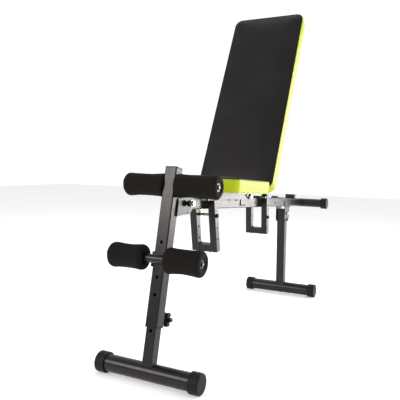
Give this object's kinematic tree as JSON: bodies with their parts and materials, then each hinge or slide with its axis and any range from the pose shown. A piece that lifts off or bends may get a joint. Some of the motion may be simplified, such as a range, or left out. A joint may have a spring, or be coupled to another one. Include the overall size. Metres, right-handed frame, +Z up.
{
  "type": "adjustable weight bench",
  "caption": "Folding incline weight bench with padded seat and back, foam leg rollers, drop-frame supports and a rear handle on a square tube frame.",
  "frame": {"origin": "on the floor, centre of the footprint box", "axes": "+Z up, +Y to the rear handle, +X to the right seen from the front roller end"},
  "size_m": [0.338, 1.5009, 1.2379],
  "materials": {
    "black_frame": "black semi-gloss powder coat",
    "lime_black_vinyl": "black vinyl top with lime boxing",
    "board": "plywood under black liner cloth",
    "black_foam": "matte black foam",
    "black_plastic": "moulded, fine texture",
    "bright_fastener": "bright zinc",
    "zinc_rod": "yellow passivated zinc",
    "dark_fastener": "black oxide"
  },
  "bodies": {
    "frame": {"main_beam": "black_frame", "handle_bar": "black_frame", "handle_caps": "black_plastic", "rear_clevis": "black_frame", "rear_pivot_bolt": "bright_fastener", "rear_lock_studs": "dark_fastener", "rest_stop": "black_frame", "hinge_ears": "black_frame", "hinge_bolt": "bright_fastener", "seat_keeper_rod": "zinc_rod", "prop_stop_rod": "zinc_rod", "fold_bolt": "bright_fastener"},
    "front_post": {"front_post": "black_frame", "post_top_cap": "black_plastic", "post_bushing": "black_plastic", "post_brackets": "black_frame", "fold_lock_knob": "black_plastic", "upper_roller_tube": "black_frame", "upper_end_bolts": "bright_fastener"},
    "upper_foam_right": {"upper_foam_right": "black_foam"},
    "upper_foam_left": {"upper_foam_left": "black_foam"},
    "roller_saddle": {"roller_saddle": "black_frame", "lower_roller_tube": "black_frame", "lower_end_bolts": "bright_fastener"},
    "lower_foam_right": {"lower_foam_right": "black_foam"},
    "lower_foam_left": {"lower_foam_left": "black_foam"},
    "front_leg": {"inner_leg_tube": "black_frame", "front_foot_tube": "black_frame", "front_foot_cap_right": "black_plastic", "front_foot_cap_left": "black_plastic"},
    "clamp_knob": {"clamp_screw": "dark_fastener", "star_knob": "black_plastic"},
    "rear_leg": {"rear_upright": "black_frame", "rear_foot_tube": "black_frame", "rear_foot_cap_right": "black_plastic", "rear_foot_cap_left": "black_plastic"},
    "seat": {"seat_board": "board", "seat_cushion": "lime_black_vinyl", "seat_rail_right": "black_frame", "seat_rail_left": "black_frame", "seat_rail_plugs": "black_plastic", "seat_screws": "bright_fastener", "seat_drop_leg_right": "black_frame", "seat_drop_leg_left": "black_frame", "seat_drop_bar": "black_frame"},
    "seat_pull_pin": {"seat_pull_pin": "dark_fastener"},
    "back": {"back_board": "board", "back_cushion": "lime_black_vinyl", "back_rail_right": "black_frame", "back_rail_left": "black_frame", "back_rail_plugs": "black_plastic", "back_hinge_plates": "black_frame", "back_cross_ties": "black_frame", "back_screws": "bright_fastener", "prop_bolt": "bright_fastener"},
    "prop": {"prop_leg_right": "black_frame", "prop_leg_left": "black_frame", "prop_bar": "black_frame", "prop_lugs": "black_frame"},
    "prop_pull_pin": {"prop_pull_pin": "dark_fastener"}
  },
  "joints": [
    {"name": "front_post_fold", "type": "hinge", "parent": "frame", "child": "front_post", "pos_m": [0, -0.52537, 0.49421], "axis": [1, 0, 0], "range_deg": [0, 66]},
    {"name": "front_leg_extend", "type": "slide", "parent": "front_post", "child": "front_leg", "axis": [0, 0.2129, 0.9771], "range_m": [-0.06, 0.08]},
    {"name": "clamp_knob_turn", "type": "hinge", "parent": "front_post", "child": "clamp_knob", "pos_m": [0, -0.65088, 0.16071], "axis": [0, 0.9771, -0.2129], "continuous": true},
    {"name": "roller_saddle_slide", "type": "slide", "parent": "front_post", "child": "roller_saddle", "axis": [0, 0.2129, 0.9771], "range_m": [-0.1, 0.05]},
    {"name": "upper_foam_right_spin", "type": "hinge", "parent": "front_post", "child": "upper_foam_right", "pos_m": [0.00009, -0.60695, 0.55029], "axis": [1, 0, 0], "continuous": true},
    {"name": "upper_foam_left_spin", "type": "hinge", "parent": "front_post", "child": "upper_foam_left", "pos_m": [-0.00009, -0.60695, 0.55029], "axis": [1, 0, 0], "continuous": true},
    {"name": "lower_foam_right_spin", "type": "hinge", "parent": "roller_saddle", "child": "lower_foam_right", "pos_m": [0.00009, -0.68847, 0.34544], "axis": [1, 0, 0], "continuous": true},
    {"name": "lower_foam_left_spin", "type": "hinge", "parent": "roller_saddle", "child": "lower_foam_left", "pos_m": [-0.00009, -0.68847, 0.34544], "axis": [1, 0, 0], "continuous": true},
    {"name": "rear_leg_fold", "type": "hinge", "parent": "frame", "child": "rear_leg", "pos_m": [0, 0.44672, 0.38934], "axis": [-1, 0, 0], "range_deg": [0, 65]},
    {"name": "seat_tilt", "type": "hinge", "parent": "frame", "child": "seat", "pos_m": [0, -0.10538, 0.49809], "axis": [-1, 0, 0], "range_deg": [0, 15]},
    {"name": "seat_pin_pull", "type": "slide", "parent": "seat", "child": "seat_pull_pin", "axis": [1, 0, 0], "range_m": [0, 0.012], "stiffness_N_per_m": 300},
    {"name": "backrest_recline", "type": "hinge", "parent": "frame", "child": "back", "pos_m": [0, -0.10538, 0.49809], "axis": [-1, 0, 0], "range_deg": [0, 64.5]},
    {"name": "prop_swing", "type": "hinge", "parent": "back", "child": "prop", "pos_m": [0, 0.02642, 0.76762], "axis": [-1, 0, 0], "range_deg": [-64.5, 0]},
    {"name": "prop_pin_pull", "type": "slide", "parent": "prop", "child": "prop_pull_pin", "axis": [1, 0, 0], "range_m": [0, 0.012], "stiffness_N_per_m": 300}
  ],
  "couplings": [
    {"joint": "prop_swing", "follows": "backrest_recline", "ratio": -1}
  ]
}
